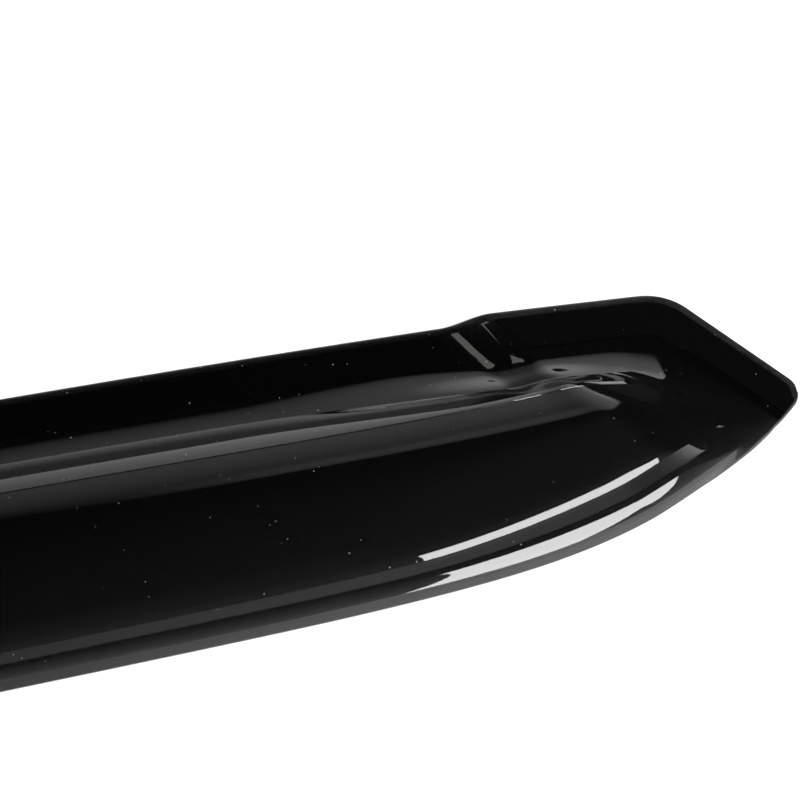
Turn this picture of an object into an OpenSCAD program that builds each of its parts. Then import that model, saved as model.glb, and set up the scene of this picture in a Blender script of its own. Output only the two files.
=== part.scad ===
// Window rain deflector: one moulded blade, lying on its adhesive side with its outer face up.
// X runs along the blade to the end tab, Y points to the roof edge and Z out of the door.
// The origin is the middle of the blade, on the plane that it rests on.

/* [Overall] */
// Length from the plain end to the tip of the tab
length = 720; // [640:10:860]
// Width over the middle, from the roof edge to the rolled lip
width = 101.2; // [94:0.2:116]
// Wall thickness of the moulding
wall = 2.5; // [2:0.1:3.2]
// How far the rounded rim stands out past the flat faces
rim_bulge = 1.1; // [0.6:0.1:1.4]

/* [Roof edge] */
// Plan radius of the crowned roof edge
roof_radius = 5400; // [4200:100:9000]
// Width of the flat flange that carries the tape
flange_w = 13.5; // [12.5:0.5:16]

/* [Riser] */
// Distance from the roof edge to the foot crease
foot_d = 23.4; // [21:0.1:25]
// Height of the foot crease above the flange
foot_h = 1.2; // [0.6:0.1:2]
// Slope angle just before the foot crease
foot_in = 14; // [6:1:20]
// Distance from the roof edge to the head of the riser
riser_d = 34.9; // [33:0.1:37]
// Height of the head of the riser above the flange
riser_h = 10.7; // [9.6:0.1:11.6]
// Slope angle of the ledge as it leaves the head of the riser
ledge_out = 27; // [20:1:30]
// Distance from the roof edge to the brow crease
brow_d = 41.1; // [39.5:0.1:43]
// Height of the brow crease above the flange
brow_h = 13.3; // [12.4:0.1:14]
// Slope angle just before the brow crease
brow_in = 19; // [14:1:24]
// Slope angle just after the brow crease
brow_out = 14; // [8:1:18]
// How far the brow crease swings to the roof edge before the tab
brow_sweep = 6.9; // [4:0.1:9]
// How late that swing bends: a higher power bends later
brow_power = 4.4; // [3.6:0.1:6]
// How far the foot crease swings down to the brow crease before the tab
foot_swing = 4.2; // [2.5:0.1:5.5]
// How far the foot crease climbs before the tab
foot_climb = 2.8; // [1.5:0.1:3.5]
// Distance from the tip at which the ledge above the brow starts to narrow
ledge_from_tip = 160; // [140:5:180]
// Length over which that ledge narrows away
ledge_run = 100; // [80:5:120]

/* [Main face] */
// Width of the rounded shoulder below the brow crease
shoulder_w = 7.8; // [6:0.2:9]
// Height of the shoulder's lower side above the flange
shoulder_h = 14.7; // [14.2:0.1:15]
// Slope angle at the shoulder's lower side
shoulder_slope = 6.5; // [4:0.5:9]
// Highest point of the main face above the flange
crown_h = 15.2; // [15:0.1:16.4]
// Distance from the valley crease up to the highest line
crown_rise_w = 34; // [24:0.5:36]
// Width of the roll-off above the valley crease
roll_w = 8.5; // [6:0.5:11]
// Height at the start of the roll-off
roll_h = 13.1; // [12.4:0.1:13.8]
// Slope angle at the start of the roll-off
roll_slope = 7; // [4:0.5:10]
// Height of the valley crease above the flange
valley_h = 10.8; // [9.6:0.1:11.6]
// Slope angle of the roll-off as it meets the valley crease
valley_in = 28; // [18:1:32]

/* [Rolled lip] */
// Width of the rolled lip in plan, over the straight part
lip_w = 9; // [8.5:0.1:11]
// How much wider the lip grows towards the tab
lip_grow = 2.2; // [0.5:0.1:3]
// Distance from the tip at which the lip starts to grow
grow_from_tip = 124; // [110:2:140]
// Length over which the lip grows
grow_run = 60; // [40:5:80]
// Angle by which the lip rises out of the valley crease
lip_rise = 16.5; // [12:0.5:20]
// Share of the lip's width that rises straight
facet_share = 0.43; // [0.38:0.01:0.46]
// Share of the lip's width that its rounded crest takes
crest_share = 0.23; // [0.22:0.01:0.28]
// Angle at which the crest turns into the hanging wall
lip_crest = 20; // [12:1:22]
// Length of the straight skirt below the hanging wall
lip_skirt = 2.2; // [1:0.1:3]
// Angle at which the lip's skirt hangs
lip_hang = 78; // [66:1:82]
// Bow of the lower edge over half the length
lip_bow = 3.5; // [1:0.1:5]
// Distance from the tip at which the lower edge starts to sweep up
sweep_run = 260; // [230:5:290]
// How far that sweep would climb by the tip
sweep_rise = 45.6; // [40:0.2:52]
// How late the sweep bends: a higher power bends later
sweep_power = 6.2; // [5.6:0.1:7]

/* [End tab] */
// Angle of the tab's outer edge to the blade
tab_angle = 53.7; // [48:0.1:60]
// Angle of the tab's under edge to the blade
under_angle = 40.4; // [37:0.1:43]
// Plan radius of the corner between the roof edge and the tab
tab_corner_r = 17; // [16:1:24]
// Plan radius of the tip
tip_r = 7; // [5:0.1:9]
// Width of the flat flange along the tab's outer edge
tab_flange_w = 15; // [14:0.5:18]
// Length over which the face climbs from the tab to the blade
tab_run = 31; // [28:1:44]
// Height of the tab's step above the flange
tab_step = 4.5; // [2:0.1:5.4]
// Distance from the tip to the foot of the step
step_from_tip = 94; // [84:0.5:106]
// Length of the step's ramp
step_run = 15; // [12:1:20]
// How far the step slants along the blade for each millimetre inwards
step_slant = 0.5; // [0.2:0.1:0.8]
// Distance from the tip over which the lip dies away into the tab
lip_fade = 34; // [28:1:60]

/* [Plain end] */
// Plan radius of the plain end's corners
end_corner_r = 12; // [8:1:18]
// Width of the flat flange at the plain end
end_flange_w = 14; // [13.5:0.5:18]
// Length over which the face climbs from the plain end
end_run = 34; // [28:1:44]
// Length over which the lip grows from the plain end
end_fade = 48; // [40:1:64]

/* [Adhesive] */
// Thickness of the foam tape
foam_t = 0.9; // [0.6:0.1:1.4]
// Thickness of the release liner
liner_t = 0.12; // [0.08:0.02:0.2]
// Width of the tape
tape_w = 11; // [8:0.5:11.5]
// Margin from the rim to the tape
tape_inset = 1.2; // [0.6:0.1:2]

/* [Smoothness] */
// Steps on each side of the long middle stretch
mid_steps = 11; // [8:1:14]
// Steps down the hanging wall of the lip
wall_steps = 4; // [3:1:6]
// Steps across each rounded rim
rim_steps = 3; // [2:1:4]

/* [Hidden] */
smoke = [0.05, 0.05, 0.055];
foam = [0.12, 0.12, 0.12];
liner_red = [0.72, 0.1, 0.12];

half = length / 2;
top_y = width / 2;
seat_z = foam_t + liner_t;
flange_z = seat_z + wall;
// How far the tip's middle stands out past the length, to leave a short flat
tip_flat = 0.15;
// Smallest share of the full roll that the lip keeps where it has died away
lip_rest = 0.002;
// Where the roll of the lip begins, from the tip and from the plain end
tab_fade_in = 10;
end_fade_in = end_flange_w + 3;

// Plain functions
function clamp01(t) = min(1, max(0, t));
function smooth(t) = let (u = clamp01(t)) u * u * (3 - 2 * u);
function dot2(a, b) = a[0] * b[0] + a[1] * b[1];
function unit(v) = v / norm(v);
function mix(a, b, t) = a + (b - a) * t;
// Straight ramp from 0 to 1, with a fillet at each end
ramp_fillet = 0.16;
function fillet_part(u) = u * u / (2 * ramp_fillet * (1 - ramp_fillet));
function ramp(t) = let (u = clamp01(t))
    u < ramp_fillet ? fillet_part(u)
    : u > 1 - ramp_fillet ? 1 - fillet_part(1 - u)
    : (u - ramp_fillet / 2) / (1 - ramp_fillet);
function reversed(v) = [for (i = [len(v) - 1 : -1 : 0]) v[i]];
// Cubic from height h0 and slope s0 to height h1 and slope s1 over a run, at t from 0 to 1
function cubic(h0, s0, h1, s1, run, t) =
    h0 * (1 + 2 * t) * pow(1 - t, 2) + s0 * run * t * pow(1 - t, 2)
    + h1 * t * t * (3 - 2 * t) - s1 * run * t * t * (1 - t);

// Plan outline. Every edge takes an inset e, measured inwards and square to the edge.
roof_c = [0, top_y - roof_radius];
tab_n = [sin(tab_angle), cos(tab_angle)];
under_n = [sin(under_angle), -cos(under_angle)];
sweep_x = half - sweep_run;
low_y = -top_y;
function sweep_t(x) = max(0, (x - sweep_x) / sweep_run);
function low_edge(x) = low_y + lip_bow * pow(x / half, 2)
    + sweep_rise * pow(sweep_t(x), sweep_power);
function low_slope(x) = 2 * lip_bow * x / (half * half)
    + sweep_rise * sweep_power / sweep_run * pow(sweep_t(x), sweep_power - 1);
// Where the sweep reaches the angle of the tab's under edge
under_t = pow((tan(under_angle) - 2 * lip_bow / half) * sweep_run / (sweep_rise * sweep_power),
              1 / (sweep_power - 1));
under_x = sweep_x + sweep_run * under_t;
under_d = dot2(under_n, [under_x, low_edge(under_x)]);
tip_cx = half + tip_flat - tip_r;
tip_c = [tip_cx, (under_d - tip_r - under_n[0] * tip_cx) / under_n[1]];
tab_d = dot2(tab_n, tip_c) + tip_r;
corner_a = tab_d - tab_corner_r - dot2(tab_n, roof_c);
corner_c = roof_c + tab_n * corner_a
    + [-tab_n[1], tab_n[0]] * sqrt(pow(roof_radius - tab_corner_r, 2) - corner_a * corner_a);
corner_x = corner_c[0] * roof_radius / (roof_radius - tab_corner_r);
end_cx = -half + end_corner_r;
end_top_c = [end_cx, roof_c[1] + sqrt(pow(roof_radius - end_corner_r, 2) - end_cx * end_cx)];
end_low_c = [end_cx, low_edge(end_cx) + end_corner_r];

function arc_y(c, r, x, side) = c[1] + side * sqrt(max(0, r * r - pow(x - c[0], 2)));
function roof_y(x, e) = roof_c[1] + sqrt(pow(roof_radius - e, 2) - x * x);
function tab_y(x, e) = (tab_d - e - tab_n[0] * x) / tab_n[1];
function top(x, e) =
    e < tip_r && x > tip_c[0] + (tip_r - e) * tab_n[0] ? arc_y(tip_c, tip_r - e, x, 1)
    : x > corner_c[0] + (tab_corner_r - e) * tab_n[0] ? tab_y(x, e)
    : x > corner_c[0] * (roof_radius - e) / (roof_radius - tab_corner_r)
        ? arc_y(corner_c, tab_corner_r - e, x, 1)
    : e < end_corner_r && x < end_cx ? arc_y(end_top_c, end_corner_r - e, x, 1)
    : roof_y(x, e);
function bottom(x, e) =
    e < tip_r && x > tip_c[0] + (tip_r - e) * under_n[0] ? arc_y(tip_c, tip_r - e, x, -1)
    : x > under_x ? (under_d - e - under_n[0] * x) / under_n[1]
    : e < end_corner_r && x < end_cx ? arc_y(end_low_c, end_corner_r - e, x, -1)
    : low_edge(x) + e * sqrt(1 + pow(low_slope(x), 2));
// Cosine of the angle between the lower edge and the blade
function edge_cos(x) = 1 / sqrt(1 + pow(low_slope(min(x, under_x)), 2));

// Section knots at x: distance from the roof edge, height, slope before and slope after.
// The foot crease and the brow crease run together and die away before the tab.
crease_run = 24;
crease_from_tip = 44;
crease_end_x = half - crease_from_tip;
function crease_keep(x) = 1 - smooth((x - crease_end_x) / crease_run + 1);
function brow_at(x) =
    brow_d - brow_sweep * pow(sweep_t(min(x, crease_end_x)) / sweep_t(crease_end_x), brow_power);
// Share by which the creases have closed up at x, and least share of the ledge that stays
ledge_rest = 0.26;
function close_at(x) = smooth((x - half + ledge_from_tip) / ledge_run);
function lip_at(x) = lip_w + lip_grow * smooth((x - half + grow_from_tip) / grow_run);
function valley_at(x) = roof_y(x, 0) - low_edge(min(x, under_x)) - lip_at(x) / edge_cos(x);
// The plain section that the creases fade into
soft_foot_h = 2.2;
soft_foot_slope = 24;
// Slopes of the riser at its foot and at its head, as shares of its mean slope angle
foot_steep = 1.04;
riser_steep = 0.98;
// Shortest stretches between the shoulder, the crown, the roll-off and the valley
crown_gap = 4;
roll_gap = 3;
valley_gap = 2;
function knots(x) =
    let (k = crease_keep(x), brow = brow_at(x),
         ledge = max(ledge_rest, 1 - close_at(x)),
         riser = brow - (brow_d - riser_d) * ledge,
         head_h = brow_h - (brow_h - riser_h) * ledge,
         foot = foot_d + foot_swing * close_at(x),
         low_h = foot_h + foot_climb * close_at(x),
         steep = atan((head_h - low_h) / (riser - foot)),
         soft = atan((brow_h - soft_foot_h) / (brow - foot)),
         soft_h = mix(soft_foot_h, brow_h, (riser - foot) / (brow - foot)),
         crown = max(brow + shoulder_w + crown_gap, valley_at(x) - crown_rise_w),
         roll = max(crown + roll_gap, valley_at(x) - roll_w))
    [[0, 0, 0, 0],
     [flange_w, 0, 0, 0],
     [foot, mix(soft_foot_h, low_h, k), tan(mix(soft_foot_slope, foot_in, k)),
      tan(mix(soft_foot_slope, foot_steep * steep, k))],
     [riser, mix(soft_h, head_h, k), tan(mix(soft, riser_steep * steep, k)),
      tan(mix(soft, ledge_out, k))],
     [brow, brow_h, tan(brow_in), tan(mix(brow_in, brow_out, k))],
     [brow + shoulder_w, shoulder_h, tan(shoulder_slope), tan(shoulder_slope)],
     [crown, crown_h, 0, 0],
     [roll, roll_h, -tan(roll_slope), -tan(roll_slope)],
     [max(roll + valley_gap, valley_at(x)), valley_h, -tan(valley_in), 0]];
function segment_of(kn, d, i = 1) = i >= len(kn) - 1 || d < kn[i][0] ? i : segment_of(kn, d, i + 1);
function section_h(kn, d) =
    let (i = segment_of(kn, d), a = kn[i - 1], b = kn[i], run = b[0] - a[0])
    d >= b[0] ? b[1] : cubic(a[1], a[3], b[1], b[2], run, clamp01((d - a[0]) / run));

// Height of the tab's tilted plane over the flange, stepped in along a slanted ramp
lift_end_x = half - tape_inset;
step_x = half - step_from_tip;
tab_tilt = atan(tab_step / (lift_end_x - step_x));
function tab_plane(x) = max(0, (lift_end_x - x) * tan(tab_tilt));
function tab_lift(x, d) = tab_plane(x) * smooth((x - step_x - step_slant * max(0, d)) / step_run);

// Outer face before the lip is rolled
function base_z(x, y, kn) =
    let (d = roof_y(x, 0) - y,
         from_tab = tab_d - dot2(tab_n, [x, y]) - tab_flange_w,
         climb = ramp(from_tab / tab_run) * ramp((x + half - end_flange_w) / end_run),
         h = section_h(kn, d) * climb)
    flange_z + h + tab_lift(x, d) * max(0, 1 - h / crown_h);

// Share of the full roll that the lip has at x
function lip_keep(x) =
    max(lip_rest, min(smooth((half - tab_fade_in - x) / (lip_fade - tab_fade_in)),
                      smooth((x + half - end_fade_in) / (end_fade - end_fade_in))));
// Inset of a section's lower end that keeps its rim inside the outline, for a skirt angle
function low_inset(hang) = max(0, rim_bulge - sin(hang) * wall / 2);

// Samples of the section, as steps between neighbouring knots
knot_steps = [1, 3, 3, 2, 2, 3, 2, 2];
function split_knots(kn) = concat([0], [for (i = [0 : len(knot_steps) - 1], j = [1 : knot_steps[i]])
    mix(kn[i][0], kn[i + 1][0], j / knot_steps[i])]);
// Largest share of a section that the lip takes
lip_most = 0.3;
// Distance in from the rim for a distance from the roof edge: even steps past the flange
function from_rim(d) = max(d * (1 - rim_bulge / flange_w), d - rim_bulge);

// Rolled lip of width w: a rising facet, a tight crest, a hanging wall and a straight skirt.
// Points are [share of the width, height over the valley crease], for the angles at a share q of
// the full roll.
crest_steps = 2;
// Longest skirt, as a share of the lip's width
skirt_share = 0.25;
function arc_part(start, w, share, low, high, steps) =
    let (r = w * share / (sin(high) - sin(low)))
    [for (i = [1 : steps]) let (t = mix(low, high, i / steps))
        [start[0] + r * (sin(t) - sin(low)) / w, start[1] + r * (cos(t) - cos(low))]];
function lip_line(w, q) =
    let (rise = lip_rise * q, crest = lip_crest * q, hang = lip_hang * q,
         skirt_l = min(lip_skirt, skirt_share * w),
         skirt = skirt_l * cos(hang) / w,
         facet = [facet_share, w * facet_share * tan(rise)],
         bend = arc_part(facet, w, crest_share, -rise, crest, crest_steps),
         drop = arc_part(bend[crest_steps - 1], w, 1 - facet_share - crest_share - skirt, crest, hang,
                         wall_steps),
         last = drop[wall_steps - 1])
    concat([facet / 2, facet], bend, drop, [[1, last[1] - skirt_l * sin(hang)]]);

// Outer face of one section, from the roof side to the lower edge
function outer_line(x0) =
    let (x = x0 * (half - rim_bulge) / half,
         kn = knots(x),
         q = lip_keep(x),
         y_top = top(x, rim_bulge),
         y_low = bottom(x, low_inset(lip_hang * q)),
         lip = min(lip_at(x) / edge_cos(x), (y_top - y_low) * lip_most),
         reach = kn[len(kn) - 1][0],
         share = (y_top - y_low - lip) / (reach - rim_bulge))
    concat([for (d = split_knots(kn)) let (y = y_top - from_rim(d) * share) [x, y, base_z(x, y, kn)]],
           [for (p = lip_line(lip * edge_cos(x), q)) let (y = y_low + lip * (1 - p[0]))
               [x, y, base_z(x, y, kn) + p[1]]]);

// Direction into the wall, square to a section line at point i, in the plane of the section
mitre_least = 0.7;
function line_normal(v, i) =
    let (n = len(v) - 1,
         a = i > 0 ? unit(v[i] - v[i - 1]) : unit(v[1] - v[0]),
         b = i < n ? unit(v[i + 1] - v[i]) : unit(v[n] - v[n - 1]),
         t = unit(a + b))
    [0, -t[2], t[1]] / max(mitre_least, a * t);
// The same face sunk into the wall by a depth
function sunk(v, depth) = [for (i = [0 : len(v) - 1]) v[i] + line_normal(v, i) * depth];

// Rim of one section at the roof side (side 1) or the lower side (side -1)
function rim(x0, outer, side) =
    let (i = side > 0 ? 0 : len(outer) - 1, p = outer[i], into = line_normal(outer, i),
         hang = side > 0 ? 0 : lip_hang * lip_keep(p[0]))
    [for (k = [1 : rim_steps]) let (a = 180 * k / (rim_steps + 1), out = rim_bulge * sin(a),
          x = x0 * (half - rim_bulge + out) / half,
          y = side > 0 ? top(x, rim_bulge - out) : bottom(x, low_inset(hang) - out * cos(hang)),
          depth = wall * (1 - cos(a)) / 2)
        [x, y + into[1] * depth, p[2] + into[2] * depth - out * sin(hang)]];

// Closed ring of one section
function ring(x0) =
    let (outer = outer_line(x0), inner = sunk(outer, wall))
    concat(outer, rim(x0, outer, -1), reversed(inner), reversed(rim(x0, outer, 1)));

// Sections from the plain end to the tip, closer where the form turns
function span(a, b, n) = [for (i = [1 : n]) mix(a, b, i / n)];
// Length of the tip that is stepped finely, and a margin past each plan corner
tip_fine = 6;
corner_gap = 1;
sweep_fine = 45;
end_steps = 7;
sweep_steps = 7;
step_steps = 8;
corner_steps = 5;
diagonal_steps = 4;
end_rise_x = -half + end_flange_w + end_run;
sweep_fine_x = sweep_x + sweep_fine;
step_end_x = step_x + step_run + step_slant * foot_d;
corner_end_x = corner_c[0] + tab_corner_r * tab_n[0] + corner_gap;
tip_fine_x = tip_c[0] + tip_r * tab_n[0] - tip_fine;
stations = concat(
    [for (a = [0 : 30 : 90]) -half + end_corner_r * (1 - cos(a))],
    span(end_cx, end_rise_x, end_steps),
    span(end_rise_x, 0, mid_steps),
    span(0, sweep_fine_x, round(mid_steps / 2)),
    span(sweep_fine_x, step_x, sweep_steps),
    span(step_x, step_end_x, step_steps),
    span(step_end_x, corner_x - corner_gap, corner_steps),
    span(corner_x - corner_gap, corner_end_x, corner_steps),
    span(corner_end_x, tip_fine_x, diagonal_steps),
    [for (a = [15 : 15 : 90]) mix(tip_fine_x, half, sin(a))]);

// Cap over one end: rows that run from the outer face round the rim to the inner face
function cap_row(x0, a) =
    let (outer = outer_line(x0), e = rim_bulge * (1 - sin(a)), x = x0 * (half - e) / half)
    [for (p = sunk(outer, wall * (1 - cos(a)) / 2)) [x, p[1], p[2]]];

module loft(rings, caps) {
    n = len(rings[0]);
    m = len(rings);
    w = len(caps[0][0]);
    rows = rim_steps;
    side = [for (i = [0 : m - 2], j = [0 : n - 1]) let (a = i * n + j, b = i * n + (j + 1) % n)
        each [[a, b + n, b], [a, a + n, b + n]]];
    // Point k of row r on a cap: row 0 is the outer face and the last row is the inner face
    function at(c, r, k) =
        let (first = c * (m - 1) * n)
        r == 0 ? first + k
        : r == rows + 1 ? first + w + rows + w - 1 - k
        : k == 0 ? first + n - r
        : k == w - 1 ? first + w + r - 1
        : m * n + (c * rows + r - 1) * w + k;
    lid = [for (c = [0, 1], r = [0 : rows], k = [0 : w - 2])
        let (p = at(c, r, k), q = at(c, r, k + 1), s = at(c, r + 1, k + 1), t = at(c, r + 1, k))
        each c == 0 ? [[p, q, s], [p, s, t]] : [[p, s, q], [p, t, s]]];
    points = concat([for (r = rings) each r], [for (c = caps) each [for (r = c) each r]]);
    polyhedron(points, concat(side, lid), convexity = 6);
}

// The moulding: flange, riser, face and rolled lip in one wall
module deflector_shell() {
    color(smoke)
    loft([for (x = stations) ring(x)],
         [for (x = [stations[0], stations[len(stations) - 1]])
            [for (k = [1 : rim_steps]) cap_row(x, 180 * k / (rim_steps + 1))]]);
}

// Strip between two edges in plan, given as functions of x and sampled at xs
module strip(xs, upper, lower, t) {
    gap = function(x) upper(x) - lower(x);
    linear_extrude(t)
    polygon(concat([for (x = xs) [x, upper(x)]],
                   reversed([for (x = xs) if (gap(x) > 0.01) [x, lower(x)]])));
}

tape_in = tape_inset + tape_w;
// Steps along the roof strip, the tab strip and the end strip
roof_steps = 20;
tab_steps = 36;
across_steps = 10;
// Where the roof strip starts past the end's corner, and where the tab strip stops short of the tip
start_gap = 2;
tip_gap = 0.4;
// Least width of the tab strip at its point
point_w = 0.2;
// Clearance along the blade between a strip's slanted cut and the step's ramp
cut_gap = 1;
// Distance in from the roof edge at which a cut through x0, slanted as the step is, reaches x
function cut_y(x, x0) = roof_y(x, 0) - (x - x0) / step_slant;
// Roof edge strip: starts square at the plain end and is cut along the foot of the step
module roof_strip(t) {
    end_x = step_x - cut_gap;
    start_x = end_cx + start_gap;
    strip(concat([start_x], span(start_x, end_x + step_slant * tape_inset, roof_steps),
                 [end_x + step_slant * tape_in]),
          function(x) min(top(x, tape_inset), cut_y(x, end_x)), function(x) top(x, tape_in), t);
}
// Tab strip: cut along the head of the step, round the corner and down to the tip
module tab_strip(t) {
    start_x = step_x + step_run + cut_gap;
    strip(concat([start_x + step_slant * tape_inset],
                 span(start_x + step_slant * tape_in, lift_end_x - tip_gap, tab_steps)),
          function(x) top(x, tape_inset),
          function(x) max(bottom(x, tape_inset), min(top(x, tape_in), top(x, tape_inset) - point_w),
                          cut_y(x, start_x)), t);
}
// Plain end strip: across the end flange, below the roof edge strip
module end_strip(t) {
    strip(concat([-half + tape_inset], span(-half + tape_inset, -half + tape_in, across_steps)),
          function(x) top(end_cx, tape_in) - cut_gap, function(x) bottom(x, tape_inset), t);
}
// Lays a strip on the tab's tilted underside
module on_tab(z) {
    translate([lift_end_x, 0, 0]) rotate([0, tab_tilt, 0]) translate([-lift_end_x, 0, z])
    children();
}

module roof_edge_liner() { color(liner_red) roof_strip(liner_t); }
module roof_edge_tape() { color(foam) translate([0, 0, liner_t]) roof_strip(foam_t); }
module tab_liner() { color(liner_red) on_tab(0) tab_strip(liner_t); }
module tab_tape() { color(foam) on_tab(liner_t) tab_strip(foam_t); }
module end_liner() { color(liner_red) end_strip(liner_t); }
module end_tape() { color(foam) translate([0, 0, liner_t]) end_strip(foam_t); }

deflector_shell();
roof_edge_tape();
roof_edge_liner();
tab_tape();
tab_liner();
end_tape();
end_liner();
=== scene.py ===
import math
import bpy
import numpy as np
from mathutils import Euler, Matrix, Vector


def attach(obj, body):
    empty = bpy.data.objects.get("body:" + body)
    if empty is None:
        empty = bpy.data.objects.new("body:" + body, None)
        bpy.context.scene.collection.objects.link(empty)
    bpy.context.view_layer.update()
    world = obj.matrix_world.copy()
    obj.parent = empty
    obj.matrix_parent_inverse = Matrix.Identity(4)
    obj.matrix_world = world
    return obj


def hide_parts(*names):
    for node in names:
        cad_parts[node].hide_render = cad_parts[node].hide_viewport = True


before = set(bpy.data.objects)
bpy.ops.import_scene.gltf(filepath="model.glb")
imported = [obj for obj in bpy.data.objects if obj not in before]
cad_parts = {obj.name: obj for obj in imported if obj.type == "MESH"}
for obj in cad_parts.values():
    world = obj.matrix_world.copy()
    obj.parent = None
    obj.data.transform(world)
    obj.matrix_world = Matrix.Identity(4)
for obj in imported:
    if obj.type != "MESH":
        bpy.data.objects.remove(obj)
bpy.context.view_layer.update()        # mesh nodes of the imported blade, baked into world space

scene = bpy.context.scene
mm = 0.001
print("frame loaded with", len(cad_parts), "nodes")


# Small helpers for angles and blends, on single values and on arrays alike
def tand(angle):
    return math.tan(math.radians(angle))


def smooth(t):
    u = np.clip(t, 0.0, 1.0)
    return u * u * (3 - 2 * u)


def mix(a, b, t):
    return a + (b - a) * t


# Straight ramp from 0 to 1, with a fillet of this share at each end
def ramp(t, fillet):
    u = np.clip(t, 0.0, 1.0)
    rounded = np.minimum(u, 1 - u) ** 2 / (2 * fillet * (1 - fillet))
    straight = (u - fillet / 2) / (1 - fillet)
    return np.where(u < fillet, rounded, np.where(u > 1 - fillet, 1 - rounded, straight))


# The photo's viewpoint, in mm and degrees
cameraPlan = {
    "target": (249.3, 18.83, 8.0),    # point at the middle of the picture
    "distance": 1200.0,
    "elevation": 55.0,
    "yaw": 13.4,                      # turn of the view from square across the blade
    "lens": 192.86,
    "sensor": 36.0,
    "clip": (50.0, 30000.0),
}


def addCamera(plan):
    lift, turn = math.radians(plan["elevation"]), math.radians(plan["yaw"])
    ahead = (math.sin(turn) * math.cos(lift), math.cos(turn) * math.cos(lift), -math.sin(lift))
    data = bpy.data.cameras.new("view")
    data.lens, data.sensor_width = plan["lens"], plan["sensor"]
    data.clip_start, data.clip_end = (length * mm for length in plan["clip"])
    camera = bpy.data.objects.new("view", data)
    camera.location = [(plan["target"][i] - ahead[i] * plan["distance"]) * mm for i in range(3)]
    camera.rotation_euler = (math.radians(90) - lift, 0.0, -turn)
    scene.collection.objects.link(camera)
    scene.camera = camera


addCamera(cameraPlan)
print("camera placed")

# Sizes of the visible skin, in mm and degrees. The part's source has the same ones, but here the ramp
# before the tab is longer and softer, and past the end of the brow's crease there is one smooth rise
blade = {
    "half": 360.0, "topY": 50.6, "flangeZ": 3.52, "wall": 2.5, "rimBulge": 1.1, "roofRadius": 5400.0,
    # flange, which widens a little before the tab
    "flangeWidth": 13.5,
    "flangeGrow": 5.0, "flangeGrowFromTip": 115.0, "flangeGrowRun": 50.0, "flangeGrowRest": 0.7,
    # foot and riser
    "footAt": 23.4, "footHeight": 1.2, "footIn": 14.0, "footSteep": 1.04,
    "footSwing": 4.2, "footClimb": 2.8,
    "riserAt": 34.9, "riserHeight": 10.7, "riserSteep": 0.98, "riserHead": 27.0,
    "ledgeFromTip": 160.0, "ledgeRun": 100.0, "ledgeRest": 0.26,
    # brow and its crease
    "browAt": 41.1, "browHeight": 13.3, "browIn": 19.0, "browOut": 14.0,
    "browSweep": 6.9, "browPower": 4.4,
    "swingFromTip": 44.0, "creaseFromTip": 38.0, "creaseRun": 30.0,
    # main face, from the shoulder over the crown down to the valley
    "shoulderWidth": 7.8, "shoulderHeight": 14.7, "shoulderSlope": 6.5,
    "crownHeight": 15.2, "crownRise": 34.0, "softRise": 12.0, "crownGap": 4.0,
    "rollWidth": 8.5, "rollHeight": 13.1, "rollSlope": 7.0, "rollGap": 3.0,
    "valleyHeight": 10.8, "valleyIn": 28.0, "valleyGap": 2.0,
    # rolled lip
    "lipWidth": 9.0, "lipGrow": 2.2, "growFromTip": 124.0, "growRun": 60.0, "lipMost": 0.3,
    "lipRise": 16.5, "lipCrest": 20.0, "lipHang": 78.0, "facetShare": 0.43, "crestShare": 0.23,
    "lipSkirt": 2.2, "skirtShare": 0.25, "lipBow": 3.5, "lipRest": 0.002, "lipFade": 34.0,
    "sweepRun": 260.0, "sweepRise": 45.6, "sweepPower": 6.2,
    # end tab and its step
    "tabAngle": 53.7, "underAngle": 40.4, "tabCorner": 17.0, "tipRadius": 7.0, "tipFlat": 0.15,
    "tabFlange": 9.5, "tabRun": 43.0, "tabFillet": 0.25, "tabStep": 4.5, "tabFadeIn": 10.0,
    "stepFromTip": 94.0, "stepRun": 15.0, "stepSlant": 0.5, "liftFromTip": 1.2,
    # plain end
    "endCorner": 12.0, "endFlange": 14.0, "endRun": 34.0, "endFillet": 0.16,
    "endFade": 48.0, "endFadeIn": 17.0,
}
# How finely the visible skin is meshed, and the hairline that the mould leaves in the brow
skin = {
    "knotRows": [6, 9, 14, 9, 8, 7, 8, 12],   # rows between neighbouring knots of the section
    "facetRows": 8, "crestRows": 8, "wallRows": 14, "skirtRows": 4, "rimRows": 9,
    "capStations": 12,                        # stations in the rounding at either end of the blade
    "hairWidth": 0.22, "hairDepth": 0.13,     # half width and depth of the hairline, mm
    "hairFrom": 6.0, "hairRun": 3.0,          # height over the flange at which the hairline sets in, mm
    "sharpAngle": 3.5,                        # creases that turn more than this stay crisp
    "mitreLeast": 0.7,                        # keeps the inner face from running out at a tight bend
}
half = blade["half"]

# Plan outline: every edge takes an inset e, measured inwards and square to the edge
roofCentre = np.array([0.0, blade["topY"] - blade["roofRadius"]])
tabTurn, underTurn = math.radians(blade["tabAngle"]), math.radians(blade["underAngle"])
tabNormal = np.array([math.sin(tabTurn), math.cos(tabTurn)])
underNormal = np.array([math.sin(underTurn), -math.cos(underTurn)])
sweepX = half - blade["sweepRun"]


def sweepT(x):
    return np.maximum(0.0, (x - sweepX) / blade["sweepRun"])


def lowEdge(x):
    return (-blade["topY"] + blade["lipBow"] * (x / half) ** 2
            + blade["sweepRise"] * sweepT(x) ** blade["sweepPower"])


def lowSlope(x):
    power = blade["sweepPower"]
    return (2 * blade["lipBow"] * x / half ** 2
            + blade["sweepRise"] * power / blade["sweepRun"] * sweepT(x) ** (power - 1))


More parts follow.
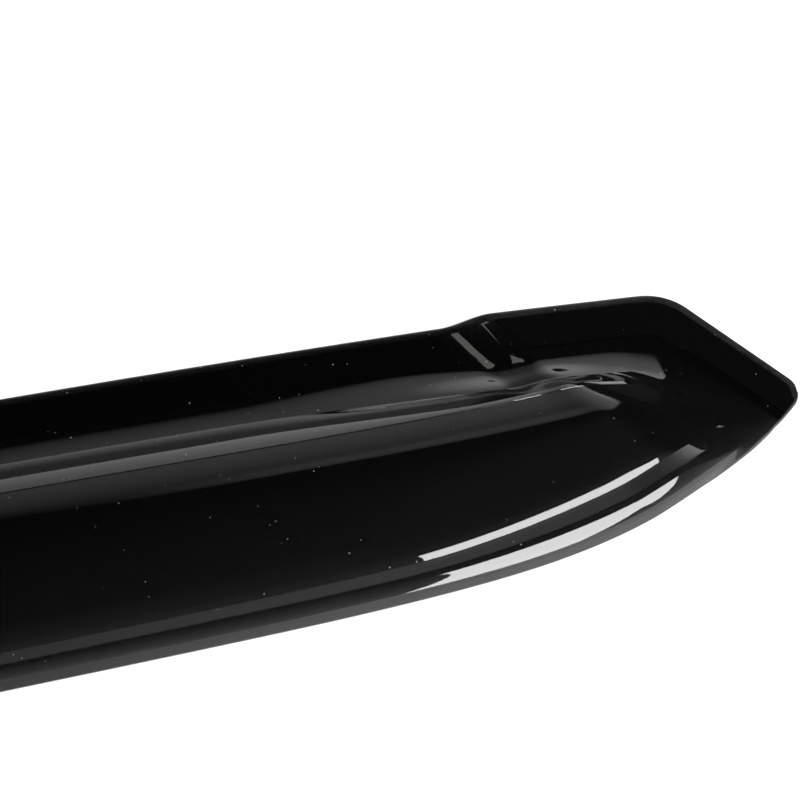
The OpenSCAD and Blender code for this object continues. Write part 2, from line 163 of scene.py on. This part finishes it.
underT = (((tand(blade["underAngle"]) - 2 * blade["lipBow"] / half) * blade["sweepRun"])
          / (blade["sweepRise"] * blade["sweepPower"])) ** (1 / (blade["sweepPower"] - 1))
underX = sweepX + blade["sweepRun"] * underT
underReach = float(underNormal @ np.array([underX, lowEdge(underX)]))
tipX = half + blade["tipFlat"] - blade["tipRadius"]
tipCentre = np.array([tipX, (underReach - blade["tipRadius"] - underNormal[0] * tipX) / underNormal[1]])
tabReach = float(tabNormal @ tipCentre) + blade["tipRadius"]
cornerRise = tabReach - blade["tabCorner"] - float(tabNormal @ roofCentre)
cornerCentre = (roofCentre + tabNormal * cornerRise + np.array([-tabNormal[1], tabNormal[0]])
                * math.sqrt((blade["roofRadius"] - blade["tabCorner"]) ** 2 - cornerRise ** 2))
cornerX = float(cornerCentre[0]) * blade["roofRadius"] / (blade["roofRadius"] - blade["tabCorner"])
endX = -half + blade["endCorner"]
endTopCentre = (endX, roofCentre[1] + math.sqrt((blade["roofRadius"] - blade["endCorner"]) ** 2 - endX ** 2))
endLowCentre = (endX, float(lowEdge(endX)) + blade["endCorner"])


def arcY(c, r, x, side):
    return c[1] + side * np.sqrt(np.maximum(0.0, r * r - (x - c[0]) ** 2))


def roofY(x, e=0.0):
    return roofCentre[1] + np.sqrt((blade["roofRadius"] - e) ** 2 - x * x)


def topEdge(x, e):
    tip, corner, end, roof = (blade[k] for k in ("tipRadius", "tabCorner", "endCorner", "roofRadius"))
    return np.select(
        [(e < tip) & (x > tipCentre[0] + (tip - e) * tabNormal[0]),
         x > cornerCentre[0] + (corner - e) * tabNormal[0],
         x > cornerCentre[0] * (roof - e) / (roof - corner),
         (e < end) & (x < endX)],
        [arcY(tipCentre, tip - e, x, 1), (tabReach - e - tabNormal[0] * x) / tabNormal[1],
         arcY(cornerCentre, corner - e, x, 1), arcY(endTopCentre, end - e, x, 1)],
        roofY(x, e))


def lowerEdge(x, e):
    tip, end = blade["tipRadius"], blade["endCorner"]
    return np.select(
        [(e < tip) & (x > tipCentre[0] + (tip - e) * underNormal[0]), x > underX, (e < end) & (x < endX)],
        [arcY(tipCentre, tip - e, x, -1), (underReach - e - underNormal[0] * x) / underNormal[1],
         arcY(endLowCentre, end - e, x, -1)],
        lowEdge(x) + e * np.sqrt(1 + lowSlope(x) ** 2))


def edgeCos(x):
    return 1 / np.sqrt(1 + lowSlope(np.minimum(x, underX)) ** 2)


# Section: heights over the flange, between knots that carry a slope on each side
creaseEndX = half - blade["creaseFromTip"]
swingEndX = half - blade["swingFromTip"]


def lipWide(x):
    return blade["lipWidth"] + blade["lipGrow"] * smooth((x - half + blade["growFromTip"]) / blade["growRun"])


# 1 where the brow's crease is whole, 0 past its end
def creaseKeep(x):
    return 1 - smooth((x - creaseEndX) / blade["creaseRun"] + 1)


def sectionKnots(x):
    keep, one = creaseKeep(x), np.ones_like(x)
    swing = (sweepT(np.minimum(x, swingEndX)) / sweepT(swingEndX)) ** blade["browPower"]
    brow = blade["browAt"] - blade["browSweep"] * swing
    valley = roofY(x) - lowEdge(np.minimum(x, underX)) - lipWide(x) / edgeCos(x)
    # Before the tab the ledge under the brow narrows, and the foot of the riser climbs to it
    close = smooth((x - half + blade["ledgeFromTip"]) / blade["ledgeRun"])
    ledge = np.maximum(blade["ledgeRest"], 1 - close)
    foot = blade["footAt"] + blade["footSwing"] * close
    footHeight = blade["footHeight"] + blade["footClimb"] * close
    grow = smooth((x - half + blade["flangeGrowFromTip"]) / blade["flangeGrowRun"])
    flange = blade["flangeWidth"] + blade["flangeGrow"] * grow * mix(blade["flangeGrowRest"], 1.0, keep)
    riser = brow - (blade["browAt"] - blade["riserAt"]) * ledge
    riserHeight = blade["browHeight"] - (blade["browHeight"] - blade["riserHeight"]) * ledge
    steep = np.degrees(np.arctan((riserHeight - footHeight) / (riser - foot)))
    shoulder = brow + blade["shoulderWidth"]
    rise = mix(blade["softRise"], blade["crownRise"], keep)
    crown = np.maximum(shoulder + blade["crownGap"], valley - rise)
    roll = np.maximum(crown + blade["rollGap"], valley - blade["rollWidth"])
    valley = np.maximum(roll + blade["valleyGap"], valley)

    # Past the end of the crease one smooth rise takes the place of riser and brow
    def knot(d, height, before, after):
        u = (d - flange) / (crown - flange)
        soft = blade["crownHeight"] * u * u * (3 - 2 * u)
        slope = np.degrees(np.arctan(blade["crownHeight"] * 6 * u * (1 - u) / (crown - flange)))
        before, after = (np.tan(np.radians(mix(slope, angle, keep))) for angle in (before, after))
        return d, mix(soft, height, keep), before, after

    return np.array([  # distance from the roof edge, height, slope before, slope after
        (0 * one, 0 * one, 0 * one, 0 * one),
        (flange, 0 * one, 0 * one, 0 * one),
        knot(foot, footHeight, blade["footIn"], blade["footSteep"] * steep),
        knot(riser, riserHeight, blade["riserSteep"] * steep, blade["riserHead"]),
        knot(brow, blade["browHeight"], blade["browIn"], blade["browOut"]),
        knot(shoulder, blade["shoulderHeight"], blade["shoulderSlope"], blade["shoulderSlope"]),
        (crown, blade["crownHeight"] * one, 0 * one, 0 * one),
        (roll, blade["rollHeight"] * one, -tand(blade["rollSlope"]) * one, -tand(blade["rollSlope"]) * one),
        (valley, blade["valleyHeight"] * one, -tand(blade["valleyIn"]) * one, 0 * one)])


# Cubic pieces between the knots
def sectionHeight(knots, d):
    height = np.broadcast_to(knots[-1, 1], d.shape).copy()
    for i in range(len(knots) - 1, 0, -1):
        a, b = knots[i - 1], knots[i]
        run = b[0] - a[0]
        t = np.clip((d - a[0]) / run, 0, 1)
        cubic = (a[1] * (1 + 2 * t) * (1 - t) ** 2 + a[3] * run * t * (1 - t) ** 2
                 + b[1] * t * t * (3 - 2 * t) - b[2] * run * t * t * (1 - t))
        height = np.where(d < b[0], cubic, height)
    return height


liftEndX = half - blade["liftFromTip"]
stepX = half - blade["stepFromTip"]
tabTilt = math.atan(blade["tabStep"] / (liftEndX - stepX))


# Height of the outer face: the section, ramped down at both ends, and the lift of the step before the tab
def faceZ(x, y, knots):
    d = roofY(x) - y
    fromTab = tabReach - (tabNormal[0] * x + tabNormal[1] * y) - blade["tabFlange"]
    share = (ramp(fromTab / blade["tabRun"], blade["tabFillet"])
             * ramp((x + half - blade["endFlange"]) / blade["endRun"], blade["endFillet"]))
    height = sectionHeight(knots, d) * share
    plane = np.maximum(0.0, (liftEndX - x) * math.tan(tabTilt))
    lift = plane * smooth((x - stepX - blade["stepSlant"] * np.maximum(0, d)) / blade["stepRun"])
    return blade["flangeZ"] + height + lift * np.maximum(0, 1 - height / blade["crownHeight"])


# Share of the lip that is left towards the tip and the plain end
def lipKeep(x):
    tabSide = smooth((half - blade["tabFadeIn"] - x) / (blade["lipFade"] - blade["tabFadeIn"]))
    endSide = smooth((x + half - blade["endFadeIn"]) / (blade["endFade"] - blade["endFadeIn"]))
    return np.maximum(blade["lipRest"], np.minimum(tabSide, endSide))


def lowInset(hang):
    return np.maximum(0.0, blade["rimBulge"] - np.sin(hang) * blade["wall"] / 2)


# Rolled lip across its width: a rising facet, a tight crest, a hanging wall and a straight skirt
def lipProfile(width, rise, crest, hang):
    facet, bend = blade["facetShare"], blade["crestShare"]
    drop = np.minimum(blade["lipSkirt"], blade["skirtShare"] * width)
    skirt = drop * np.cos(hang) / width
    shares, heights = [], []
    for i in range(1, skin["facetRows"] + 1):
        share = facet * i / skin["facetRows"] + 0 * width
        shares.append(share)
        heights.append(width * share * np.tan(rise))
    for low, high, span, count in ((-rise, crest, bend, skin["crestRows"]),
                                   (crest, hang, 1 - facet - bend - skirt, skin["wallRows"])):
        startShare, startHeight = shares[-1], heights[-1]
        radius = width * span / (np.sin(high) - np.sin(low))
        for i in range(1, count + 1):
            t = mix(low, high, i / count)
            shares.append(startShare + radius * (np.sin(t) - np.sin(low)) / width)
            heights.append(startHeight + radius * (np.cos(t) - np.cos(low)))
    startShare, startHeight = shares[-1], heights[-1]
    for i in range(1, skin["skirtRows"] + 1):
        shares.append(startShare + skirt * i / skin["skirtRows"])
        heights.append(startHeight - drop * np.sin(hang) * i / skin["skirtRows"])
    return np.array(shares), np.array(heights)


# Outer face as rows of points along the blade: shape (rows, stations, 3)
def outerFace(x0):
    x = x0 * (half - blade["rimBulge"]) / half
    knots, keep = sectionKnots(x), lipKeep(x)
    rise, hang = math.radians(blade["lipRise"]) * keep, math.radians(blade["lipHang"]) * keep
    yTop, yLow = topEdge(x, blade["rimBulge"]), lowerEdge(x, lowInset(hang))
    lip = np.minimum(lipWide(x) / edgeCos(x), (yTop - yLow) * blade["lipMost"])
    share = (yTop - yLow - lip) / (knots[-1, 0] - blade["rimBulge"])
    # Creases run along the foot, the riser's head, the brow, the roll-off and the valley
    distances, creases = [], []
    for i, count in enumerate(skin["knotRows"]):
        distances += [mix(knots[i, 0], knots[i + 1, 0], j / count) for j in range(count)]
        if i == 3:     # a row close to the brow on each side of it makes the hairline
            creases.append(len(distances) + 1)
            gap = (knots[4, 0] - knots[3, 0]) / (2 * count)
            distances.append(knots[4, 0] - np.minimum(skin["hairWidth"], gap))
        if i == 4:
            distances.insert(creases[2] + 1, knots[4, 0] + skin["hairWidth"])
        if i in (1, 2, 6, 7):
            creases.append(len(distances))
    distances.append(knots[-1, 0])
    creases[-1] = len(distances) - 1
    d = np.array(distances)
    # Rows lie on the knots, and only close up where the outline turns away from the roof edge
    y = yTop - np.maximum(d * (1 - blade["rimBulge"] / blade["flangeWidth"]), d - blade["rimBulge"]) * share
    face = np.stack([np.broadcast_to(x, y.shape), y, faceZ(np.broadcast_to(x, y.shape), y, knots)], axis=2)
    y, z = lipProfile(lip * edgeCos(x), rise, math.radians(blade["lipCrest"]) * keep, hang)
    y = yLow + lip * (1 - y)
    z = faceZ(np.broadcast_to(x, y.shape), y, knots) + z
    lipFace = np.stack([np.broadcast_to(x, y.shape), y, z], axis=2)
    return np.concatenate([face, lipFace]), creases, hang


# Unit direction into the wall, square to the section line, in the plane of the section
def intoWall(face):
    legs = np.diff(face[..., 1:], axis=0)
    legs /= np.linalg.norm(legs, axis=2, keepdims=True)
    before, after = np.concatenate([legs[:1], legs]), np.concatenate([legs, legs[-1:]])
    middle = before + after
    middle /= np.linalg.norm(middle, axis=2, keepdims=True)
    square = np.stack([0 * middle[..., 0], -middle[..., 1], middle[..., 0]], axis=2)
    return square / np.maximum(skin["mitreLeast"], (before * middle).sum(axis=2))[..., None]


# One row of the rounded rim between outer and inner face, at the roof edge (side 1) or the lip (side -1)
def rimRow(x0, edge, into, hang, side, angle):
    out, depth = blade["rimBulge"] * math.sin(angle), blade["wall"] * (1 - math.cos(angle)) / 2
    x = x0 * (half - blade["rimBulge"] + out) / half
    if side > 0:
        y = topEdge(x, blade["rimBulge"] - out)
    else:
        y = lowerEdge(x, lowInset(hang) - out * np.cos(hang))
    y = np.clip(y + into[:, 1] * depth, -blade["topY"], blade["topY"])
    z = edge[:, 2] + into[:, 2] * depth - (0 if side > 0 else out * np.sin(hang))
    return np.stack([x, y, z], axis=1)


# Stretches along the blade: how far each one reaches, in mm, and how many stations it has
stretches = {
    "endRamp": (endX + 44, 22), "plain": (100, 58), "sweep": (205, 34), "beforeStep": (262, 34),
    "tabRamp": (cornerX - 1, 56), "tabFlank": (half - 22, 18), "nose": (half - 7, 12),
}


def shellStations():
    bend = np.radians(np.linspace(0, 90, skin["capStations"] + 1))
    parts, start = [-half + blade["endCorner"] * (1 - np.cos(bend[:-1]))], endX
    for stop, count in stretches.values():
        parts.append(np.linspace(start, stop, count, endpoint=False))
        start = stop
    return np.concatenate(parts + [mix(start, half, np.sin(bend))])


# Crisp edges along the creases, where the two sides really turn
def markCreases(mesh, inRow):
    ends = np.empty(len(mesh.edges) * 2, int)
    mesh.edges.foreach_get("vertices", ends)
    ends = ends.reshape(-1, 2)
    normals = np.empty(len(mesh.polygons) * 3)
    mesh.polygons.foreach_get("normal", normals)
    normals = normals.reshape(-1, 3)
    loopEdge = np.empty(len(mesh.loops), int)
    mesh.loops.foreach_get("edge_index", loopEdge)
    owner = np.repeat(np.arange(len(mesh.polygons)), [len(p.vertices) for p in mesh.polygons])
    pair = owner[np.argsort(loopEdge, kind="stable")].reshape(-1, 2)
    turn = (normals[pair[:, 0]] * normals[pair[:, 1]]).sum(axis=1)
    crisp = (turn < math.cos(math.radians(skin["sharpAngle"]))) & inRow[ends[:, 0]] & inRow[ends[:, 1]]
    # An edge that crosses from one crease row to the next one isn't a crease
    along = np.abs(ends[:, 0] - ends[:, 1]) > 2
    mesh.shade_smooth()
    sharp = mesh.attributes.new("sharp_edge", "BOOLEAN", "EDGE")
    sharp.data.foreach_set("value", crisp & along)


# A new object from points in metres
def addMesh(name, points, faces):
    mesh = bpy.data.meshes.new(name)
    mesh.from_pydata(points, [], faces)
    piece = bpy.data.objects.new(name, mesh)
    scene.collection.objects.link(piece)
    return piece


def buildShell():
    stations = shellStations()
    outer, creases, hang = outerFace(stations)
    into = intoWall(outer)
    inner = outer + into * blade["wall"]
    # Hairline: the brow row sinks a little where the crease is crisp and the face stands at full height
    brow = creases[2]
    full = smooth((outer[brow, :, 2] - blade["flangeZ"] - skin["hairFrom"]) / skin["hairRun"])
    groove = skin["hairDepth"] * creaseKeep(stations) ** 0.5 * full
    outer[brow] += into[brow] * groove[:, None]
    angles = [math.pi * k / skin["rimRows"] for k in range(1, skin["rimRows"])]
    lowRim = [rimRow(stations, outer[-1], into[-1], hang, -1, a) for a in angles]
    roofRim = [rimRow(stations, outer[0], into[0], 0, 1, a) for a in angles]
    ring = np.concatenate([outer, np.array(lowRim), inner[::-1], np.array(roofRim)[::-1]])
    width, rim, around = outer.shape[0], len(angles), ring.shape[0]
    count = len(stations)
    # Point j of ring k is points[k * around + j]
    points = ring.transpose(1, 0, 2).reshape(-1, 3)
    k, j = np.meshgrid(np.arange(count - 1), np.arange(around), indexing="ij")
    here, beside = k * around + j, k * around + (j + 1) % around
    # Corners run so that every face looks out of the wall
    quads = [np.stack([here, beside, beside + around, here + around], axis=2).reshape(-1, 4)]
    # Rounded caps close the two ends, with a row for each row of the rim
    extra = []
    for station in (0, count - 1):
        rows = [np.arange(width) + station * around]
        for a in range(1, rim + 1):
            angle = angles[a - 1]
            row = outer[:, station] + into[:, station] * blade["wall"] * (1 - math.cos(angle)) / 2
            shrink = half - blade["rimBulge"] * (1 - math.sin(angle))
            row[:, 0] = stations[station] * shrink / half
            first = len(points) + sum(len(e) for e in extra)
            index = first + np.arange(width)
            index[0] = station * around + around - a
            index[-1] = station * around + width + a - 1
            extra.append(row)
            rows.append(index)
        rows.append(station * around + width + rim + width - 1 - np.arange(width))
        for near, far in zip(rows[:-1], rows[1:]):
            side = np.stack([near[:-1], far[:-1], far[1:], near[1:]], axis=1)
            quads.append(side if station == 0 else side[:, ::-1])
    points = np.concatenate([points] + extra)
    quads = np.concatenate(quads)
    used = np.unique(quads)
    renumber = np.zeros(len(points), int)
    renumber[used] = np.arange(len(used))
    shell = addMesh("smoked_shell", (points[used] * mm).tolist(), renumber[quads].tolist())
    shell.data.validate()
    # Points that lie on a crease, on the outer and the inner face
    inRow = np.zeros(len(points), bool)
    for row in set(creases) | {brow - 1, brow + 1}:
        for first in range(0, count * around, around):
            inRow[first + row] = True
            inRow[first + width + rim + width - 1 - row] = True
    markCreases(shell.data, inRow[used])
    print("shell meshed:", len(points), "points,", len(quads), "quads")
    return shell


# One value in a node tree, with the arithmetic that adds its own nodes
class Wire:
    def __init__(self, tree, socket):
        self.tree, self.socket = tree, socket

    def maths(self, operation, other, turned=False):
        first, second = (other, self) if turned else (self, other)
        return addNode(self.tree, "ShaderNodeMath", {"operation": operation}, {0: first, 1: second})

    def __add__(self, other):
        return self.maths("ADD", other)

    def __sub__(self, other):
        return self.maths("SUBTRACT", other)

    def __rsub__(self, other):
        return self.maths("SUBTRACT", other, turned=True)

    def __mul__(self, other):
        return self.maths("MULTIPLY", other)

    def __truediv__(self, other):
        return self.maths("DIVIDE", other)

    def __rtruediv__(self, other):
        return self.maths("DIVIDE", other, turned=True)

    __radd__ = __add__
    __rmul__ = __mul__


# A node of any type: its settings first, then the values or wires of its sockets
def addNode(tree, kind, settings=None, sockets=None, out=0):
    node = tree.nodes.new(kind)
    for key, value in (settings or {}).items():
        if key == "stops":
            while len(node.color_ramp.elements) < len(value):
                node.color_ramp.elements.new(0.5)
            for element, (place, grey) in zip(node.color_ramp.elements, value):
                element.position = place
                element.color = (grey, grey, grey, 1.0)
        else:
            setattr(node, key, value)
    for key, value in (sockets or {}).items():
        if isinstance(value, Wire):
            tree.links.new(value.socket, node.inputs[key])
        else:
            node.inputs[key].default_value = value
    return Wire(tree, node.outputs[out])


# Mix of two colours by a mask or a number
def blend(tree, mask, first, second):
    first, second = (c if isinstance(c, Wire) else tuple(c) + (1.0,) for c in (first, second))
    return addNode(tree, "ShaderNodeMix", {"data_type": "RGBA"}, {0: mask, 6: first, 7: second}, out=2)


def noise(tree, place, scale, detail):
    return addNode(tree, "ShaderNodeTexNoise", {}, {"Vector": place, "Scale": scale, "Detail": detail})


def bump(tree, height, strength, distance):
    return addNode(tree, "ShaderNodeBump", {}, {"Strength": strength, "Distance": distance, "Height": height})


# A value carried over from one span of numbers to another
def mapped(tree, value, low, high, settings=None, toLow=0.0, toHigh=1.0):
    return addNode(tree, "ShaderNodeMapRange", settings,
                   {"Value": value, "From Min": low, "From Max": high, "To Min": toLow, "To Max": toHigh})


def newFinish(name):
    material = bpy.data.materials.new(name)
    material.use_nodes = True
    tree = material.node_tree
    tree.nodes.clear()
    output = tree.nodes.new("ShaderNodeOutputMaterial")
    shader = tree.nodes.new("ShaderNodeBsdfPrincipled")
    tree.links.new(shader.outputs[0], output.inputs["Surface"])
    place = addNode(tree, "ShaderNodeTexCoord", out=3)   # object coordinates, in metres
    return material, tree, shader, place


def feed(tree, shader, **sockets):
    for key, value in sockets.items():
        socket = shader.inputs[key.replace("_", " ")]
        if isinstance(value, Wire):
            tree.links.new(value.socket, socket)
        else:
            socket.default_value = value


# Little grains: a mask that is 1 near the middle of a few cells, each grain with a size of its own
def grains(tree, place, plan):
    where = {"Vector": place, "Scale": plan["dustScale"]}
    near = addNode(tree, "ShaderNodeTexVoronoi", {}, where)
    cell = addNode(tree, "ShaderNodeTexVoronoi", {}, where, out=1)
    pick = addNode(tree, "ShaderNodeSeparateColor", {}, {"Color": cell})
    spread = addNode(tree, "ShaderNodeSeparateColor", {}, {"Color": cell}, out=1)
    chosen = pick.maths("GREATER_THAN", 1 - plan["dustShare"])
    return chosen * near.maths("LESS_THAN", (spread + plan["dustLeast"]) * plan["dustSize"])


# Smoked gloss: nearly black, and just clear enough to show the tape behind it
acrylic = {
    "colour": (0.0003, 0.00035, 0.0003),
    "alpha": 0.88,            # one face; the wall has two
    "ior": 1.49,
    "roughness": 0.006, "hazeRough": 0.012, "hazeScale": 60.0,
    "dustScale": 520.0, "dustSize": 0.08, "dustLeast": 0.35, "dustShare": 0.16,
    "dustColour": (0.16, 0.16, 0.155), "dustRough": 0.4, "dustSolid": 0.6,
    "waveScale": 22.0, "waveHeight": 0.00001,
}


def smokedAcrylic(plan):
    material, tree, shader, place = newFinish("smoked_acrylic_gloss")
    dust = grains(tree, place, plan)
    haze = noise(tree, place, plan["hazeScale"], 5.0)
    wave = noise(tree, place, plan["waveScale"], 1.0)
    feed(tree, shader, IOR=plan["ior"],
         Base_Color=blend(tree, dust, plan["colour"], plan["dustColour"]),
         Roughness=haze * plan["hazeRough"] + plan["roughness"] + dust * plan["dustRough"],
         Alpha=dust * (1 - plan["alpha"]) * plan["dustSolid"] + plan["alpha"],
         Normal=bump(tree, wave, 1.0, plan["waveHeight"]))
    return material


foam = {
    "colour": (0.012, 0.012, 0.013), "worn": (0.03, 0.03, 0.031),
    "cloudScale": 260.0, "roughness": 0.72, "roughSpread": 0.2,
    "cells": 1800.0, "cellDepth": 0.00012, "cellStrength": 0.8,
}


def foamTape(plan):
    material, tree, shader, place = newFinish("foam_tape_black")
    cells = addNode(tree, "ShaderNodeTexVoronoi", {"feature": "SMOOTH_F1"},
                    {"Vector": place, "Scale": plan["cells"]})
    cloud = noise(tree, place, plan["cloudScale"], 4.0)
    feed(tree, shader, Base_Color=blend(tree, cloud, plan["colour"], plan["worn"]),
         Roughness=cloud * plan["roughSpread"] + plan["roughness"],
         Normal=bump(tree, cells, plan["cellStrength"], plan["cellDepth"]))
    return material


liner = {
    "colour": (0.42, 0.012, 0.018), "pale": (0.60, 0.03, 0.035),
    "streaks": 900.0, "stretch": (0.05, 1.0, 1.0),      # the streaks run along the strip
    "roughness": 0.22, "roughSpread": 0.15, "streakDepth": 0.00003, "streakStrength": 0.3,
}


def redLiner(plan):
    material, tree, shader, place = newFinish("release_liner_red")
    stretched = addNode(tree, "ShaderNodeVectorMath", {"operation": "MULTIPLY"},
                        {0: place, 1: plan["stretch"]})
    streak = noise(tree, stretched, plan["streaks"], 3.0)
    feed(tree, shader, Base_Color=blend(tree, streak, plan["colour"], plan["pale"]),
         Roughness=streak * plan["roughSpread"] + plan["roughness"],
         Normal=bump(tree, streak, plan["streakStrength"], plan["streakDepth"]))
    return material


shell = buildShell()
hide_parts("deflector_shell")
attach(shell, "root")
shell.data.materials.append(smokedAcrylic(acrylic))
finishes = {"tape": foamTape(foam), "liner": redLiner(liner)}
for name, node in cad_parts.items():
    kind = name.rsplit("_", 1)[-1]
    if kind in finishes:
        for slot in node.material_slots:
            slot.material = finishes[kind]
print("finishes assigned")

# Plain pale table, in metres
floor = {
    "size": 8.0, "drop": 0.0002, "colour": (0.86, 0.86, 0.86), "shade": (0.8428, 0.8428, 0.8428),
    "cloudScale": 3.0, "roughness": 0.8, "specular": 0.1,
}


def addFloor(plan):
    side = plan["size"] / 2
    corners = [(x * side, y * side, -plan["drop"]) for x, y in ((-1, -1), (1, -1), (1, 1), (-1, 1))]
    table = addMesh("table_top", corners, [(0, 1, 2, 3)])
    material, tree, shader, place = newFinish("table_white")
    cloud = noise(tree, place, plan["cloudScale"], 2.0)
    feed(tree, shader, Base_Color=blend(tree, cloud, plan["colour"], plan["shade"]),
         Roughness=plan["roughness"], Specular_IOR_Level=plan["specular"])
    table.data.materials.append(material)


# Cards on the table, seen in the gloss alone, that paint reflections: a dark one behind the tab paints a dark
# reflection in the ramp, which then mirrors no pale table, and a grey one in front of the lip paints shade
# into the table it mirrors, darker to the left, away from the key
cards = {
    # painted dark reflection: a near-black sheet that the tab's ramp mirrors in place of the pale table
    "dark_card": {"corners": [(0.385, -0.02), (4.0, -0.02), (4.0, 4.0), (1.35, 4.0), (0.338, 0.055)],
                  "greys": (0.025, 0.025), "across": (0.4, 4.0), "drop": 0.0001, "roughness": 0.9},
    # painted shade in the lip's reflection of the table: grey from 0.30 on the left to 0.86 on the right
    "grey_card": {"corners": [(-0.6, -1.5), (0.28, -1.5), (0.28, -0.03), (-0.6, -0.03)],
                  "greys": (0.30, 0.86), "across": (0.10, 0.27), "drop": 0.0001, "roughness": 0.9},
}


# Sheet of painted reflection, seen in the gloss alone; its grey runs across x between the two given greys
def addCard(name, plan):
    corners = [(x, y, -plan["drop"]) for x, y in plan["corners"]]
    sheet = addMesh(name, corners, [tuple(range(len(corners)))])
    material, tree, shader, place = newFinish(name)
    along = mapped(tree, addNode(tree, "ShaderNodeSeparateXYZ", {}, {0: place}), *plan["across"])
    left, right = ((grey,) * 3 for grey in plan["greys"])
    feed(tree, shader, Base_Color=blend(tree, along, left, right), Roughness=plan["roughness"],
         Specular_IOR_Level=0.0)
    sheet.data.materials.append(material)
    sheet.visible_camera = sheet.visible_diffuse = sheet.visible_shadow = sheet.visible_transmission = False


# Lights: where they stand as seen from a point on the blade, in degrees and metres, with a shift and a roll
# in the light's own plane. The key makes the stripes on the lip, and the leaf box the glint on the step
lights = {
    "key_box": {"from": (0.30, -0.02, 0.0), "azimuth": 137.0, "elevation": 41.0, "distance": 0.9,
                "shift": (-0.23, -0.12), "roll": -29.0, "size": (0.42, 1.46),
                "radiance": 15.0, "colour": (1.0, 1.0, 1.0), "glossy": True},
    "leaf_box": {"from": (0.27, 0.04, 0.01), "azimuth": -33.0, "elevation": 62.7, "distance": 1.5,
                 "shift": (0.0, 0.0), "roll": 0.0, "size": (0.38, 0.11),
                 "radiance": 1.8, "colour": (1.0, 0.98, 0.93), "glossy": True},
    "top_fill": {"from": (0.2, 0.0, 0.0), "azimuth": 180.0, "elevation": 80.0, "distance": 2.2,
                 "shift": (0.0, 0.0), "roll": 0.0, "size": (2.4, 2.4),
                 "radiance": 0.8, "colour": (1.0, 1.0, 1.0), "glossy": False},
}


def addLight(name, plan):
    turn, lift = math.radians(plan["azimuth"]), math.radians(plan["elevation"])
    away = (math.sin(turn) * math.cos(lift), math.cos(turn) * math.cos(lift), math.sin(lift))
    data = bpy.data.lights.new(name, "AREA")
    data.shape, data.size, data.size_y = "RECTANGLE", plan["size"][0], plan["size"][1]
    data.energy = plan["radiance"] * 4 * plan["size"][0] * plan["size"][1]
    data.color = plan["colour"]
    lamp = bpy.data.objects.new(name, data)
    facing = Euler((math.radians(90) - lift, 0.0, math.pi - turn)).to_matrix()
    aside, upward = facing @ Vector((1, 0, 0)), facing @ Vector((0, 1, 0))
    lamp.location = (Vector(plan["from"]) + Vector(away) * plan["distance"]
                     + aside * plan["shift"][0] + upward * plan["shift"][1])
    lamp.rotation_euler = (facing @ Matrix.Rotation(math.radians(plan["roll"]), 3, "Z")).to_euler()
    lamp.visible_glossy = plan["glossy"]
    scene.collection.objects.link(lamp)


# Room seen in the gloss. The greys go by the sine of the elevation
room = {
    "behind": [(0.0, 1.3), (0.14, 1.15), (0.26, 0.95), (0.38, 0.56), (0.54, 0.50), (0.62, 0.40),
               (0.67, 0.26), (0.71, 0.012), (0.85, 0.015), (1.0, 0.045)],
    "front": [(0.0, 1.05), (0.2, 0.85), (0.4, 0.65), (0.5, 0.54), (0.65, 0.46), (0.85, 0.36),
              (0.93, 0.28), (0.97, 0.22), (1.0, 0.12)],
    "beside": [(0.0, 0.03), (0.8, 0.03), (0.93, 0.09), (1.0, 0.12)],      # the dark side of the room
    "edge": 0.43,             # tangent of the azimuth at which the pale backdrop ends on the right
    "lean": (0.10, 1.4),      # that tangent at the horizon, and how fast it grows upwards
    "edgeBlur": 0.02, "turnBlur": 0.12,
    "gain": (0.75, 2.4),      # the backdrop brightens from left to right
    "aheadLeast": 0.05,
}


def addRoom(plan):
    world = bpy.data.worlds.new("room")
    world.use_nodes = True
    scene.world = world
    tree = world.node_tree
    tree.nodes.clear()
    ray = addNode(tree, "ShaderNodeTexCoord")
    across, ahead, up = (addNode(tree, "ShaderNodeSeparateXYZ", {}, {0: ray}, out=i) for i in range(3))
    behind, front, beside = (addNode(tree, "ShaderNodeValToRGB", {"stops": plan[key]}, {0: up})
                             for key in ("behind", "front", "beside"))
    soft = {"interpolation_type": "SMOOTHSTEP"}
    # The backdrop ends on the right at a line that leans outwards
    limit = (up * plan["lean"][1] + plan["lean"][0]).maths("MINIMUM", plan["edge"])
    edge = mapped(tree, ahead * limit - across, -plan["edgeBlur"], plan["edgeBlur"], soft)
    side = mapped(tree, ahead, -plan["turnBlur"], plan["turnBlur"], soft)
    turn = across / ahead.maths("MAXIMUM", plan["aheadLeast"])
    gain = mapped(tree, turn, -plan["edgeBlur"], plan["edge"], None, *plan["gain"])
    backdrop = addNode(tree, "ShaderNodeVectorMath", {"operation": "SCALE"}, {0: behind, 3: gain})
    glow = blend(tree, side, front, blend(tree, edge, beside, backdrop))
    shine = addNode(tree, "ShaderNodeBackground", {}, {"Color": glow, "Strength": 1.0})
    output = tree.nodes.new("ShaderNodeOutputWorld")
    tree.links.new(shine.socket, output.inputs["Surface"])


addFloor(floor)
for name, plan in cards.items():
    addCard(name, plan)
for name, plan in lights.items():
    addLight(name, plan)
addRoom(room)
scene.view_settings.view_transform = "Standard"
print("studio lit")
